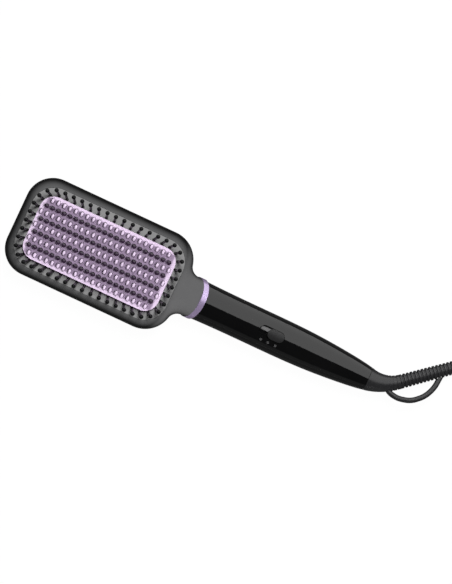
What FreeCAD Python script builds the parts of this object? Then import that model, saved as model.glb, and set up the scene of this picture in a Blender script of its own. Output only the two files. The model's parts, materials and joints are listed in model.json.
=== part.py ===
import FreeCAD, Part
import math
import os
import re
import Sketcher

# Heated straightening brush lying on its back, bristles up.
# The origin is on the flat back of the head, under the middle of the heater plate.
# +X runs along the handle to the cord, +Z is up. Sizes are in millimetres.

V = FreeCAD.Vector
X_AXIS = V(1, 0, 0)
Y_AXIS = V(0, 1, 0)
Z_AXIS = V(0, 0, 1)

doc = FreeCAD.newDocument("straightening_brush")
sheet = doc.addObject("Spreadsheet::Sheet", "Sizes")

SIZES = {
    # Head casing
    "rim_width": 6.65,
    "tip_rim": 6.2,
    "neck_rim": 5.5,
    "tip_corner": 21.0,
    "shoulder_round": 22.0,
    "neck_blend": 8.0,
    "neck_width": 31.0,
    "neck_length": 8.0,
    "neck_wall": 3.0,
    "neck_flat": 0.5,
    "head_depth": 24.0,
    "head_split": 11.0,
    "rim_round": 11.0,
    "back_round": 9.0,
    "casing_wall": 2.2,
    "side_wall": 2.8,
    "ledge_thick": 2.0,
    "ledge_depth": 3.0,
    # Bristle bed and heater plate
    "plate_length": 109.7,
    "plate_width": 50.3,
    "plate_corner": 10.8,
    "plate_thick": 2.5,
    "bed_margin": 6.75,
    "bed_drop": 1.2,
    "bed_thick": 2.0,
    "bed_lip": 2.0,
    "lip_thick": 1.6,
    "bed_window_inset": 2.8,
    "fit_gap": 0.15,
    # Teeth and inner pins of the plate
    "row_margin": 4.03,
    "tooth_margin": 2.6,
    "teeth_in_row": 23,
    "tooth_length": 3.2,
    "tooth_width": 5.4,
    "tooth_height": 7.0,
    "tooth_taper": 0.76,
    "tooth_round": 1.1,
    "pin_stem": 1.8,
    "pin_ball": 3.6,
    "pin_height": 7.4,
    "pin_hole_gap": 0.2,
    "rail_width": 3.2,
    # Outer bristles
    "outer_bristles": 48,
    "long_side_reach": 7,
    "bristle_stem": 2.0,
    "bristle_ball": 3.3,
    "bristle_base_out": 1.3,
    "bristle_lean_out": 3.4,
    "bristle_height": 11.0,
    "strip_thick": 1.5,
    "strip_inner": 1.2,
    "strip_outer": 1.8,
    # Heater stack under the plate
    "mica_thick": 0.4,
    "clamp_thick": 1.2,
    "plate_screw_x": 38.0,
    "plate_boss": 3.2,
    "screw_shank": 2.2,
    "screw_head": 4.0,
    "screw_head_thick": 1.6,
    "head_screw_x": 40.0,
    "head_screw_inset": 2.2,
    "screw_boss": 5.2,
    "fuse_length": 12.0,
    "fuse_diameter": 3.2,
    "sensor_diameter": 2.4,
    "sensor_length": 5.0,
    "wire_diameter": 1.6,
    "wire_lead": 10.0,
    "wire_step": 2.0,
    # Collar ring and joining sleeve
    "ring_width": 4.0,
    "ring_lean": 30.3,
    "ring_proud": 0.5,
    "ring_lift": 0.6,
    "sleeve_wall": 1.6,
    "sleeve_behind": 12.1,
    "sleeve_ahead": 28.9,
    # Handle stations: run from the one before, half width, half depth, height of the underside
    "handle_overlap": 7.1,
    "handle_flare": 0.1,
    "front_lift": 0.0,
    "fore_span": 29.9,
    "fore_half_width": 14.55,
    "fore_half_depth": 12.4,
    "fore_lift": 0.0,
    "mid_span": 39.8,
    "mid_half_width": 14.5,
    "mid_half_depth": 12.6,
    "mid_lift": 0.0,
    "rear_span": 32.2,
    "rear_half_width": 13.65,
    "rear_half_depth": 12.2,
    "rear_lift": 0.2,
    "taper_span": 22.0,
    "taper_half_width": 11.9,
    "taper_half_depth": 11.1,
    "taper_lift": 1.0,
    "tail_span": 13.0,
    "tail_half_width": 10.4,
    "tail_half_depth": 9.9,
    "tail_lift": 2.1,
    "end_span": 8.5,
    "end_radius": 9.0,
    "swivel_height": 12.0,
    # Slide switch and lights
    "knob_length": 13.0,
    "knob_width": 8.0,
    "knob_proud": 1.0,
    "knob_travel": 6.8,
    "slide_gap": 0.3,
    "recess_depth": 2.6,
    "recess_skin": 1.6,
    "stem_length": 3.0,
    "stem_width": 2.4,
    "slider_length": 9.0,
    "slider_width": 6.0,
    "slider_thick": 1.0,
    "light_back": 9.3,
    "light_pitch": 5.9,
    "light_side": 6.9,
    "light_diameter": 2.0,
    "led_height": 0.9,
    "led_length": 1.6,
    # Control board
    "board_gap": 8.0,
    "board_tail": 3.0,
    "device_gap": 1.4,
    "board_width": 21.0,
    "board_thick": 1.6,
    "slider_room": 0.7,
    "post_thick": 2.0,
    "post_inset": 6.0,
    "switch_body_length": 16.0,
    "switch_body_width": 6.4,
    "switch_body_height": 5.4,
    "stem_dip": 1.5,
    "capacitor_length": 13.0,
    "capacitor_width": 6.0,
    "capacitor_height": 7.0,
    "triac_length": 10.0,
    "triac_width": 4.5,
    "triac_height": 4.8,
    "chip_length": 5.0,
    "chip_width": 4.0,
    "chip_height": 1.5,
    # Handle screws
    "handle_split": 12.0,
    "fore_screw_gap": 3.6,
    "rear_screw_gap": 7.0,
    "screw_recess": 4.0,
    # Swivel
    "swivel_turn": 9.6,
    "shaft_diameter": 8.0,
    "shaft_length": 31.4,
    "shaft_gap": 0.3,
    "end_wall": 2.4,
    "bush_length": 9.0,
    "bush_diameter": 13.6,
    "flange_diameter": 12.0,
    "flange_thick": 2.0,
    "slip_ring_thick": 2.5,
    "slip_ring_gap": 2.5,
    "near_ring_diameter": 9.4,
    "far_ring_diameter": 10.8,
    "spring_thick": 0.4,
    "spring_width": 2.4,
    "boot_bend": 35.0,
    "boot_angle": 40.1,
    "boot_taper": 1.6,
    "boot_end_diameter": 10.8,
    "boot_grooves": 3,
    "groove_depth": 0.6,
    "groove_width": 0.9,
    "rib_pitch": 2.85,
    "rib_count": 17,
    "rib_depth": 0.9,
    "sleeve_end_diameter": 10.0,
    "loop_diameter": 4.2,
    "loop_start_share": 0.53,
    "loop_along": 34.3,
    # Cord and plug
    "cord_diameter": 6.0,
    "coil_radius": 47.5,
    "coil_pitch": 6.5,
    "coil_centre_x": 436.0,
    "coil_centre_y": 10.6,
    "coil_start_angle": 82.0,
    "half_turns_in": 7,
    "half_turns_out": 6,
    "tie_thick": 1.0,
    "tie_width": 8.0,
    "tie_gap": 0.3,
    "plug_width": 35.0,
    "plug_depth": 13.7,
    "plug_length": 40.0,
    "plug_relief": 16.0,
    "plug_shoulder": 29.2,
    "plug_corner": 5.0,
    "relief_wall": 1.0,
    "relief_swell": 5.0,
    "plug_tail_width": 14.0,
    "plug_tail_depth": 11.0,
    "plug_pin_diameter": 4.0,
    "plug_pin_length": 19.0,
    "plug_pin_spacing": 18.6,
}

# Sizes and places that follow from the ones above
FOLLOWING = {
    "head_end": "(plate_length / 2 + bed_margin + neck_rim)",
    "head_width": "(plate_width + 2 * bed_margin + 2 * rim_width)",
    "tip_reach": "(plate_length / 2 + bed_margin + tip_rim)",
    "shoulder_start": "(head_end - shoulder_round)",
    "neck_round": "(head_depth / 2 - neck_flat)",
    "ring_side": "(head_end + neck_length)",
    "neck_reach": "(ring_side + head_depth)",
    "row_pitch": "((plate_width / 2 - row_margin) / 4)",
    "tooth_pitch": "((plate_length - 2 * tooth_margin) / (teeth_in_row - 1))",
    "bar_width": "(2 * row_pitch - rail_width - 2 * slide_gap)",
    "bore_half_width": "(neck_width / 2 - neck_wall)",
    "bore_half_depth": "(head_depth / 2 - neck_wall)",
    "sleeve_start": "(ring_side - sleeve_behind)",
    "bore_end": "(ring_side + sleeve_ahead)",
    "front_reach": "(ring_side - handle_overlap)",
    "front_half_width": "(neck_width / 2 + handle_flare)",
    "front_half_depth": "(head_depth / 2 + handle_flare)",
    "fore_reach": "(ring_side + fore_span)",
    "mid_reach": "(fore_reach + mid_span)",
    "rear_reach": "(mid_reach + rear_span)",
    "taper_reach": "(rear_reach + taper_span)",
    "tail_reach": "(taper_reach + tail_span)",
    "end_reach": "(tail_reach + end_span)",
    "knob_place": "mid_reach",
    "recess_floor": "(mid_lift + 2 * mid_half_depth - recess_depth)",
    "recess_place": "(knob_place - knob_travel / 2)",
    "light_first": "(knob_place - light_back)",
    "slider_bottom": "(recess_floor - recess_skin - slide_gap - slider_thick)",
    "board_top": "(slider_bottom - slider_room - switch_body_height)",
    "board_start": "(bore_end + board_gap)",
    "capacitor_place": "(recess_place + switch_body_length / 2 + device_gap + capacitor_length / 2)",
    "board_end": "(capacitor_place + capacitor_length / 2 + board_tail)",
    "board_length": "(board_end - board_start)",
    "fore_screw": "(bore_end + fore_screw_gap)",
    "rear_screw": "(board_end + rear_screw_gap)",
    "shaft_start": "(end_reach - shaft_length)",
}

for row, (alias, number) in enumerate(SIZES.items(), 1):
    sheet.set(f"A{row}", alias)
    sheet.set(f"B{row}", str(number))
    sheet.setAlias(f"B{row}", alias)
doc.recompute()


def bound(text):
    """An expression in the sheet's own aliases, with what follows from them written out."""
    def named(match):
        word = match[0]
        if word in FOLLOWING:
            return bound(FOLLOWING[word])
        return f"Sizes.{word}" if word in SIZES else word

    return re.sub(r"\b[a-z_]+\b", named, text)


def value(text):
    """The number that an expression of the sheet's aliases has now."""
    return float(sheet.evalExpression(bound(text)))


def bind(item, **expressions):
    for name, text in expressions.items():
        item.setExpression(name.replace("__", "."), bound(text))


def move(item, x="0", y="0", z="0"):
    bind(item, Placement__Base__x=x, Placement__Base__y=y, Placement__Base__z=z)


# Heights of the stack in the head, from the back up
BED_TOP = "(head_depth - bed_drop)"
BED_BOTTOM = f"({BED_TOP} - bed_thick)"
LEDGE_BOTTOM = f"({BED_BOTTOM} - ledge_thick)"
LIP_BOTTOM = f"({BED_BOTTOM} - bed_lip)"
BAR_BOTTOM = f"({LIP_BOTTOM} + mica_thick)"
CLAMP_BOTTOM = f"({LIP_BOTTOM} - clamp_thick)"
PLATE_TOP = f"({BED_TOP} + plate_thick)"
HEAD_MID = "(head_depth / 2)"
HEAD_SCREW_Y = "(plate_width / 2 + bed_margin - head_screw_inset)"
PLATE_SCREW_Y = "(plate_width / 2 - bed_window_inset - plate_boss / 2 - fit_gap)"


def box(name, x, y, z, length, width, height):
    """A block from its lowest corner and its three sizes."""
    item = doc.addObject("Part::Box", name)
    bind(item, Length=length, Width=width, Height=height)
    move(item, x, y, z)
    return item


def centred_box(name, x, y, z, length, width, height):
    """A block about x and y, standing on z."""
    return box(name, f"{x} - ({length}) / 2", f"{y} - ({width}) / 2", z, length, width, height)


def cylinder(name, x, y, z, diameter, height):
    """An upright cylinder standing on z."""
    item = doc.addObject("Part::Cylinder", name)
    bind(item, Radius=f"({diameter}) / 2", Height=height)
    move(item, x, y, z)
    return item


def rod(name, x, y, z, diameter, length):
    """A cylinder along +X."""
    item = doc.addObject("Part::Cylinder", name)
    item.Placement = FreeCAD.Placement(V(), FreeCAD.Rotation(Y_AXIS, 90))
    bind(item, Radius=f"({diameter}) / 2", Height=length)
    move(item, x, y, z)
    return item


def cut(name, base, *tools):
    """What is left of base after each tool is taken away."""
    for count, tool in enumerate(tools, 1):
        item = doc.addObject("Part::Cut", name if count == len(tools) else f"{name}_cut_{count}")
        item.Base = base
        item.Tool = tool
        base = item
    return base


def join(name, *pieces):
    item = doc.addObject("Part::MultiFuse", name)
    item.Shapes = list(pieces)
    item.Refine = True
    return item


def common(name, base, tool):
    item = doc.addObject("Part::Common", name)
    item.Base = base
    item.Tool = tool
    return item


def group(name, *pieces):
    """Separate solids that share one node."""
    item = doc.addObject("Part::Compound", name)
    item.Links = list(pieces)
    return item


def solid(name, shape):
    """A piece whose shape is worked out here from the sheet's sizes."""
    item = doc.addObject("Part::Feature", name)
    item.Shape = shape
    return item


def plane(body, role):
    return next(item for item in body.Origin.OriginFeatures if item.Role == role)


def set_constraint(sketch, text, *constraint):
    """A measured constraint, bound to an expression."""
    index = sketch.addConstraint(Sketcher.Constraint(*constraint, value(text)))
    sketch.setExpression(f"Constraints[{index}]", bound(text))


def sketch_arc(sketch, centre, radius, first, last):
    circle = Part.Circle(centre, Z_AXIS, radius)
    return sketch.addGeometry(Part.ArcOfCircle(circle, math.radians(first), math.radians(last)))


def rounded_slab(name, length, width, corner, bottom, top, x="0"):
    """A rounded rectangle about (x, 0), from one height to another."""
    body = doc.addObject("PartDesign::Body", name)
    sketch = body.newObject("Sketcher::SketchObject", f"{name}_outline")
    sketch.AttachmentSupport = plane(body, "XY_Plane")
    sketch.MapMode = "FlatFace"
    a, b, r = value(length) / 2, value(width) / 2, value(corner)
    corners = [
        V(-a + r, -b), V(a - r, -b), V(a, -b + r), V(a, b - r),
        V(a - r, b), V(-a + r, b), V(-a, b - r), V(-a, -b + r),
    ]
    lines = [
        sketch.addGeometry(Part.LineSegment(corners[i], corners[i + 1])) for i in (0, 2, 4, 6)
    ]
    arcs = [
        sketch_arc(sketch, V(a - r, -b + r), r, 270, 360),
        sketch_arc(sketch, V(a - r, b - r), r, 0, 90),
        sketch_arc(sketch, V(-a + r, b - r), r, 90, 180),
        sketch_arc(sketch, V(-a + r, -b + r), r, 180, 270),
    ]
    for i in range(4):
        sketch.addConstraint(Sketcher.Constraint("Tangent", lines[i], 2, arcs[i], 1))
        sketch.addConstraint(Sketcher.Constraint("Tangent", arcs[i], 2, lines[(i + 1) % 4], 1))
        sketch.addConstraint(Sketcher.Constraint("Vertical" if i % 2 else "Horizontal", lines[i]))
    for i in range(3):
        sketch.addConstraint(Sketcher.Constraint("Equal", arcs[i], arcs[i + 1]))
    sketch.addConstraint(Sketcher.Constraint("Symmetric", arcs[1], 3, arcs[3], 3, -1, 1))
    set_constraint(sketch, corner, "Radius", arcs[0])
    set_constraint(sketch, f"{length} - 2 * ({corner})", "DistanceX", arcs[3], 3, arcs[0], 3)
    set_constraint(sketch, f"{width} - 2 * ({corner})", "DistanceY", arcs[0], 3, arcs[1], 3)
    pad = body.newObject("PartDesign::Pad", f"{name}_pad")
    pad.Profile = sketch
    bind(pad, Length=f"{top} - {bottom}")
    move(body, x, "0", bottom)
    return body


def plate_slab(name, offset, bottom, top):
    """A slab with the heater plate's outline, grown by an offset."""
    length = f"(plate_length + 2 * ({offset}))"
    width = f"(plate_width + 2 * ({offset}))"
    return rounded_slab(name, length, width, f"(plate_corner + {offset})", bottom, top)


def edges_at_height(shape, height):
    return [
        index for index, edge in enumerate(shape.Edges, 1)
        if all(abs(vertex.Point.z - height) < 1e-6 for vertex in edge.Vertexes)
    ]


def ease(start, end, share):
    return start + (end - start) * max(0.0, min(1.0, share))


# Head form: one half of the outline is drawn, raised and mirrored

def neck_start():
    """Where the shoulder's two arcs have run into the straight neck."""
    reach = value("shoulder_round + neck_blend")
    rise = value("neck_width / 2 + neck_blend - head_width / 2 + shoulder_round")
    return value("shoulder_start") + math.sqrt(reach ** 2 - rise ** 2)


def head_outline(body):
    sketch = body.newObject("Sketcher::SketchObject", "head_outline")
    sketch.AttachmentSupport = plane(body, "XY_Plane")
    sketch.MapMode = "FlatFace"
    tip, half, corner = value("tip_reach"), value("head_width / 2"), value("tip_corner")
    start, shoulder = value("shoulder_start"), value("shoulder_round")
    blend, neck, end = value("neck_blend"), value("neck_width / 2"), value("neck_reach")
    blend_x = neck_start()
    meeting = math.degrees(math.acos((blend_x - start) / (shoulder + blend)))
    tip_line = sketch.addGeometry(Part.LineSegment(V(-tip, 0), V(-tip, half - corner)))
    tip_arc = sketch_arc(sketch, V(corner - tip, half - corner), corner, 90, 180)
    side = sketch.addGeometry(Part.LineSegment(V(corner - tip, half), V(start, half)))
    shoulder_arc = sketch_arc(sketch, V(start, half - shoulder), shoulder, meeting, 90)
    blend_arc = sketch_arc(sketch, V(blend_x, neck + blend), blend, meeting + 180, 270)
    neck_line = sketch.addGeometry(Part.LineSegment(V(blend_x, neck), V(end, neck)))
    end_line = sketch.addGeometry(Part.LineSegment(V(end, neck), V(end, 0)))
    middle = sketch.addGeometry(Part.LineSegment(V(end, 0), V(-tip, 0)))
    for first, first_end, second, second_end in (
        (tip_line, 2, tip_arc, 2),
        (side, 1, tip_arc, 1),
        (side, 2, shoulder_arc, 2),
        (shoulder_arc, 1, blend_arc, 1),
        (blend_arc, 2, neck_line, 1),
    ):
        sketch.addConstraint(Sketcher.Constraint("Tangent", first, first_end, second, second_end))
    for first, second in ((neck_line, end_line), (end_line, middle), (middle, tip_line)):
        sketch.addConstraint(Sketcher.Constraint("Coincident", first, 2, second, 1))
    for line in (tip_line, end_line):
        sketch.addConstraint(Sketcher.Constraint("Vertical", line))
    for line in (side, neck_line, middle):
        sketch.addConstraint(Sketcher.Constraint("Horizontal", line))
    sketch.addConstraint(Sketcher.Constraint("PointOnObject", tip_line, 1, -1))
    set_constraint(sketch, "tip_reach", "DistanceX", tip_line, 1, -1, 1)
    set_constraint(sketch, "head_width / 2", "DistanceY", -1, 1, side, 1)
    set_constraint(sketch, "tip_corner", "Radius", tip_arc)
    set_constraint(sketch, "shoulder_round", "Radius", shoulder_arc)
    set_constraint(sketch, "neck_blend", "Radius", blend_arc)
    set_constraint(sketch, "shoulder_start", "DistanceX", -1, 1, shoulder_arc, 3)
    set_constraint(sketch, "neck_width / 2", "DistanceY", -1, 1, neck_line, 1)
    set_constraint(sketch, "neck_reach", "DistanceX", -1, 1, end_line, 2)
    return sketch


def head_form():
    """The head's outer form, with edges that grow rounder towards the neck."""
    body = doc.addObject("PartDesign::Body", "head_block")
    sketch = head_outline(body)
    pad = body.newObject("PartDesign::Pad", "head_pad")
    pad.Profile = sketch
    bind(pad, Length="head_depth")
    doc.recompute()
    mirror = body.newObject("PartDesign::Mirrored", "head_mirror")
    mirror.Originals = [pad]
    mirror.MirrorPlane = (plane(body, "XZ_Plane"), [""])
    body.Tip = mirror
    doc.recompute()
    start = value("shoulder_start")
    run = neck_start() - start
    neck = value("neck_round")
    rounds = {value("head_depth"): value("rim_round"), 0.0: value("back_round")}
    edges = []
    for height, wide in rounds.items():
        for index in edges_at_height(body.Shape, height):
            edge = body.Shape.Edges[index - 1]
            ends = [edge.valueAt(p).x for p in (edge.FirstParameter, edge.LastParameter)]
            if min(ends) < value("neck_reach") - 1e-6:
                radii = [ease(wide, neck, (x - start) / run) for x in ends]
                edges.append((index, *radii))
    form = doc.addObject("Part::Fillet", "head_form")
    form.Base = body
    form.Edges = edges
    return form


def head_cavity():
    """The hollow of the head, under the bed's ledge."""
    reach = "(shoulder_start + shoulder_round)"
    body = rounded_slab(
        "head_cavity", f"(tip_reach + {reach} - 2 * side_wall)", "(head_width - 2 * side_wall)",
        "(shoulder_round - side_wall)", "casing_wall", LEDGE_BOTTOM, f"({reach} - tip_reach) / 2",
    )
    doc.recompute()
    pad = body.Tip
    names = [f"Edge{index}" for index in edges_at_height(pad.Shape, 0.0)]
    fillet = body.newObject("PartDesign::Fillet", "head_cavity_round")
    fillet.Base = (pad, names)
    bind(fillet, Radius="back_round - casing_wall")
    body.Tip = fillet
    return body


# Slanted cuts at the collar ring

SLAB_REACH = "(2 * neck_reach)"
RING_THICK = "(ring_width * cos(ring_lean * 1 deg))"


def slanted_block(name, start, end):
    """A block between two planes that lean with the collar ring."""
    item = doc.addObject("Part::Box", name)
    item.Placement = FreeCAD.Placement(V(), FreeCAD.Rotation(Y_AXIS, value("ring_lean")))
    tilt_x = f"(({start}) * cos(ring_lean * 1 deg) - {SLAB_REACH} / 2 * sin(ring_lean * 1 deg))"
    tilt_z = f"(-({start}) * sin(ring_lean * 1 deg) - {SLAB_REACH} / 2 * cos(ring_lean * 1 deg))"
    bind(item, Length=f"{end} - ({start})", Width=SLAB_REACH, Height=SLAB_REACH)
    bind(item, Placement__Rotation__Angle="ring_lean")
    move(item, f"ring_side + {tilt_x}", f"-{SLAB_REACH} / 2", f"{HEAD_MID} + {tilt_z}")
    return item


def ellipse(name, x, z, half_width, half_depth):
    """An upright ellipse that faces along X."""
    item = doc.addObject("Part::Ellipse", name)
    item.Placement = FreeCAD.Placement(V(), FreeCAD.Rotation(V(1, 1, 1), 120))
    bind(item, MajorRadius=half_width, MinorRadius=half_depth)
    move(item, x, "0", z)
    return item


def elliptic_rod(name, start, end, z, half_width, half_depth):
    item = doc.addObject("Part::Extrusion", name)
    item.Base = ellipse(f"{name}_section", start, z, half_width, half_depth)
    item.DirMode = "Custom"
    item.Dir = X_AXIS
    item.Solid = True
    bind(item, LengthFwd=f"{end} - {start}")
    return item


head = head_form()
neck_bore = elliptic_rod(
    "neck_bore", "(sleeve_start - neck_length)", "bore_end", HEAD_MID, "bore_half_width", "bore_half_depth")
head_side = slanted_block("head_side", f"-{SLAB_REACH}", "0")
ring_slab = slanted_block("ring_slab", "0", RING_THICK)
handle_side = slanted_block("handle_side", RING_THICK, SLAB_REACH)
head_half = cut("head_casing", common("head_to_ring", head, head_side), head_cavity(), neck_bore)

REACH = "(2 * end_reach)"


def half_space(name, z, height):
    """A wide block over or under a parting plane."""
    return centred_box(name, "0", "0", z, REACH, REACH, height)


def screw_places(name, make, x_text, y_text):
    """Copies of a piece at the four corners of a rectangle."""
    return [
        make(f"{name}_{i}{j}", f"{i} * {x_text}", f"{j} * {y_text}") for i in (-1, 1) for j in (-1, 1)
    ]


def head_frame():
    """Front half of the head: rim, ledge and screw posts."""
    window = plate_slab("frame_window", "bed_margin + fit_gap", BED_BOTTOM, "(head_depth + 1)")
    hole = plate_slab("frame_hole", "bed_margin - ledge_depth", f"({LEDGE_BOTTOM} - 1)", "head_depth")
    upper = half_space("head_upper", "head_split", "head_depth")
    rim = cut("frame_rim", common("frame_half", head_half, upper), window, hole)
    posts = screw_places(
        "frame_post",
        lambda name, x, y: cylinder(name, x, y, "head_split", "screw_boss", f"{BED_BOTTOM} - head_split"),
        "head_screw_x", HEAD_SCREW_Y)
    bores = screw_places(
        "frame_bore",
        lambda name, x, y: cylinder(name, x, y, "0", "screw_shank", "head_depth"),
        "head_screw_x", HEAD_SCREW_Y)
    seats = screw_places(
        "frame_seat",
        lambda name, x, y: cylinder(
            name, x, y, f"{BED_BOTTOM} - screw_head_thick", "screw_head", "screw_head_thick + 1"),
        "head_screw_x", HEAD_SCREW_Y)
    return cut("head_front_frame", join("frame_joined", rim, *posts), *bores, *seats)


def head_cover():
    """Back half of the head, with its screw posts."""
    lower = half_space("head_lower", "-head_depth", "head_depth + head_split")
    shell = common("cover_half", head_half, lower)
    posts = screw_places(
        "cover_post",
        lambda name, x, y: cylinder(
            name, x, y, "casing_wall / 2", "screw_boss", "head_split - casing_wall / 2"),
        "head_screw_x", HEAD_SCREW_Y)
    bores = screw_places(
        "cover_bore",
        lambda name, x, y: cylinder(name, x, y, "casing_wall", "screw_shank", "head_depth"),
        "head_screw_x", HEAD_SCREW_Y)
    return cut("head_rear_cover", join("cover_joined", shell, *posts), *bores)


def pan_screw(name, x, y, tip, seat):
    """A screw from its tip up to the seat of its head."""
    return join(
        name,
        cylinder(f"{name}_shank", x, y, tip, "screw_shank", f"{seat} + screw_head_thick / 2 - ({tip})"),
        cylinder(f"{name}_head", x, y, seat, "screw_head", "screw_head_thick"),
    )


def head_screws():
    seat = f"({BED_BOTTOM} - screw_head_thick)"
    return group("head_screws", *screw_places(
        "head_screw",
        lambda name, x, y: pan_screw(name, x, y, "casing_wall + 1", seat),
        "head_screw_x", HEAD_SCREW_Y))


# Outer bristles: a fan around the plate's edge

def edge_point(share, offset):
    """A point on the plate's outline grown by an offset, as a share of the way round."""
    radius = value("plate_corner") + offset
    across = value("plate_length - 2 * plate_corner")
    along = value("plate_width - 2 * plate_corner")
    quarter = radius * math.pi / 2
    way = (share % 1.0) * (2 * across + 2 * along + 4 * quarter)
    centre = V(across / 2, along / 2, 0)
    runs = [
        (across / 2, V(0, centre.y + radius, 0), 90), (quarter, centre, 90),
        (along, V(centre.x + radius, centre.y, 0), 0), (quarter, V(centre.x, -centre.y, 0), 0),
        (across, V(centre.x, -centre.y - radius, 0), -90), (quarter, -centre, -90),
        (along, V(-centre.x - radius, -centre.y, 0), 180), (quarter, V(-centre.x, centre.y, 0), 180),
        (across / 2, V(-centre.x, centre.y + radius, 0), 90),
    ]
    for number, (length, start, heading) in enumerate(runs):
        if way <= length or number == len(runs) - 1:
            break
        way -= length
    if number % 2 == 0:
        turn = math.radians(heading - 90)
        return start + V(math.cos(turn), math.sin(turn), 0) * way
    turn = math.radians(heading) - way / radius
    return start + V(math.cos(turn), math.sin(turn), 0) * radius


def bristle_line(index):
    """Where a bristle leaves the bed, and the middle of its ball."""
    share = index / value("outer_bristles")
    base = edge_point(share, value("bristle_base_out"))
    tip = edge_point(share, value("bristle_base_out + bristle_lean_out"))
    top = value(BED_TOP)
    return base + V(0, 0, top), tip + V(0, 0, top + value("bristle_height"))


def stem(start, end, diameter):
    return Part.makeCylinder(diameter / 2, (end - start).Length, start, end - start)


def bristle_root(base, tip):
    """The lower end of a bristle, in the middle of its strip."""
    depth = value("bed_thick + strip_thick / 2")
    return base - (tip - base) * (depth / (tip.z - base.z))


def bristle_strip(name, indices, zone):
    """A strip under the bed with its share of the bristles."""
    rail = common(f"{name}_rail", strip_ring, zone)
    doc.recompute()
    pieces = []
    for index in indices:
        base, tip = bristle_line(index)
        pieces.append(stem(bristle_root(base, tip), tip, value("bristle_stem")))
        pieces.append(Part.makeSphere(value("bristle_ball") / 2, tip))
    return solid(name, rail.Shape.fuse(pieces).removeSplitter())


strip_top = BED_BOTTOM
strip_bottom = f"({BED_BOTTOM} - strip_thick)"
strip_ring = cut(
    "strip_ring",
    plate_slab("strip_outside", "strip_outer", strip_bottom, strip_top),
    plate_slab("strip_inside", "-strip_inner", f"({strip_bottom} - 1)", f"({strip_top} + 1)"))


def bristle_strips():
    """Four strips: the two long sides, the tip and the neck end."""
    count = int(value("outer_bristles"))
    reach = int(value("long_side_reach"))
    last = edge_point(reach / count, value("bristle_base_out"))
    following = edge_point((reach + 1) / count, value("bristle_base_out"))
    split = (last.x + following.x) / 2
    side = value("head_width")
    tall = value("head_depth")
    zones = {
        "upper": Part.makeBox(2 * split, side, tall, V(-split, 0, 0)),
        "lower": Part.makeBox(2 * split, side, tall, V(-split, -side, 0)),
        "neck": Part.makeBox(side, 2 * side, tall, V(split, -side, 0)),
        "tip": Part.makeBox(side, 2 * side, tall, V(-split - side, -side, 0)),
    }
    half = count // 2
    shares = {
        "upper": range(-reach, reach + 1),
        "lower": range(half - reach, half + reach + 1),
        "neck": range(reach + 1, half - reach),
        "tip": range(half + reach + 1, count - reach),
    }
    return [
        bristle_strip(f"{key}_bristle_strip", shares[key], solid(f"{key}_zone", zones[key]))
        for key in zones
    ]


def bristle_bed():
    """Tray with a window for the heaters and a hole for each outer bristle."""
    tray = plate_slab("bed_tray", "bed_margin", BED_BOTTOM, BED_TOP)
    lip = plate_slab("bed_lip_block", "lip_thick - bed_window_inset", LIP_BOTTOM, BED_TOP)
    window = plate_slab("bed_window", "-bed_window_inset", f"({LIP_BOTTOM} - 1)", f"({BED_TOP} + 1)")
    blank = cut("bed_blank", join("bed_joined", tray, lip), window)
    doc.recompute()
    holes = []
    for index in range(int(value("outer_bristles"))):
        base, tip = bristle_line(index)
        end = base + base - bristle_root(base, tip)
        holes.append(stem(bristle_root(base, tip), end, value("bristle_stem + 2 * fit_gap")))
    return solid("bristle_bed", blank.Shape.cut(holes))


# Heater plate, inner pins and the stack under them

def tooth_rows():
    """Row places across the plate, each with its number of teeth."""
    full = int(value("teeth_in_row"))
    return [(row * 2, full - 2 if abs(row) == 2 else full) for row in (-2, -1, 0, 1, 2)]


def spaced(count):
    """Places along X for a row of equally spaced pieces."""
    pitch = value("tooth_pitch")
    return [(index - (count - 1) / 2) * pitch for index in range(count)]


def pin_places():
    places = []
    for row in (-3, -1, 1, 3):
        y = row * value("row_pitch")
        places.extend(V(x, y, 0) for x in spaced(int(value("teeth_in_row")) - 1))
    return places


# A tooth's rounded top: how far down, as a share of its round, and how wide, as a share of its taper
CROWN_SHAPE = [(1.0, 1.0), (0.25, 0.8), (0.0, 0.45)]


def oval_tooth():
    """One tapered oval tooth, rounded at its top."""
    half_width = value("tooth_width") / 2
    half_length = value("tooth_length") / 2
    low = value(PLATE_TOP) - value("plate_thick") / 2
    top = value(PLATE_TOP) + value("tooth_height")
    taper = value("tooth_taper")
    crown = value("tooth_round")
    levels = [(low, 1.0)] + [(top - crown * drop, taper * share) for drop, share in CROWN_SHAPE]
    wires = []
    for z, share in levels:
        curve = Part.Ellipse(V(0, half_width * share, z), V(half_length * share, 0, z), V(0, 0, z))
        wires.append(Part.Wire(curve.toShape()))
    return Part.makeLoft(wires, True, True)


def heater_plate():
    """Coated plate with its teeth, a hole for each pin and four screw bosses under it."""
    slab = plate_slab("plate_blank", "0", BED_TOP, PLATE_TOP)
    bosses = screw_places(
        "plate_boss",
        lambda name, x, y: cylinder(name, x, y, BAR_BOTTOM, "plate_boss", f"{PLATE_TOP} - 1 - {BAR_BOTTOM}"),
        "plate_screw_x", PLATE_SCREW_Y)
    bores = screw_places(
        "plate_bore",
        lambda name, x, y: cylinder(name, x, y, "0", "screw_shank", BED_TOP),
        "plate_screw_x", PLATE_SCREW_Y)
    blank = cut("plate_bossed", join("plate_joined", slab, *bosses), *bores)
    doc.recompute()
    hole = Part.makeCylinder(value("pin_stem / 2 + pin_hole_gap"), value("head_depth"))
    low = V(0, 0, value(BED_TOP) - 1)
    holes = [hole.translated(place + low) for place in pin_places()]
    tooth = oval_tooth()
    teeth = []
    for row, count in tooth_rows():
        y = row * value("row_pitch")
        teeth.extend(tooth.translated(V(x, y, 0)) for x in spaced(count))
    return solid("heater_plate", blank.Shape.cut(holes).fuse(teeth).removeSplitter())


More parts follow.
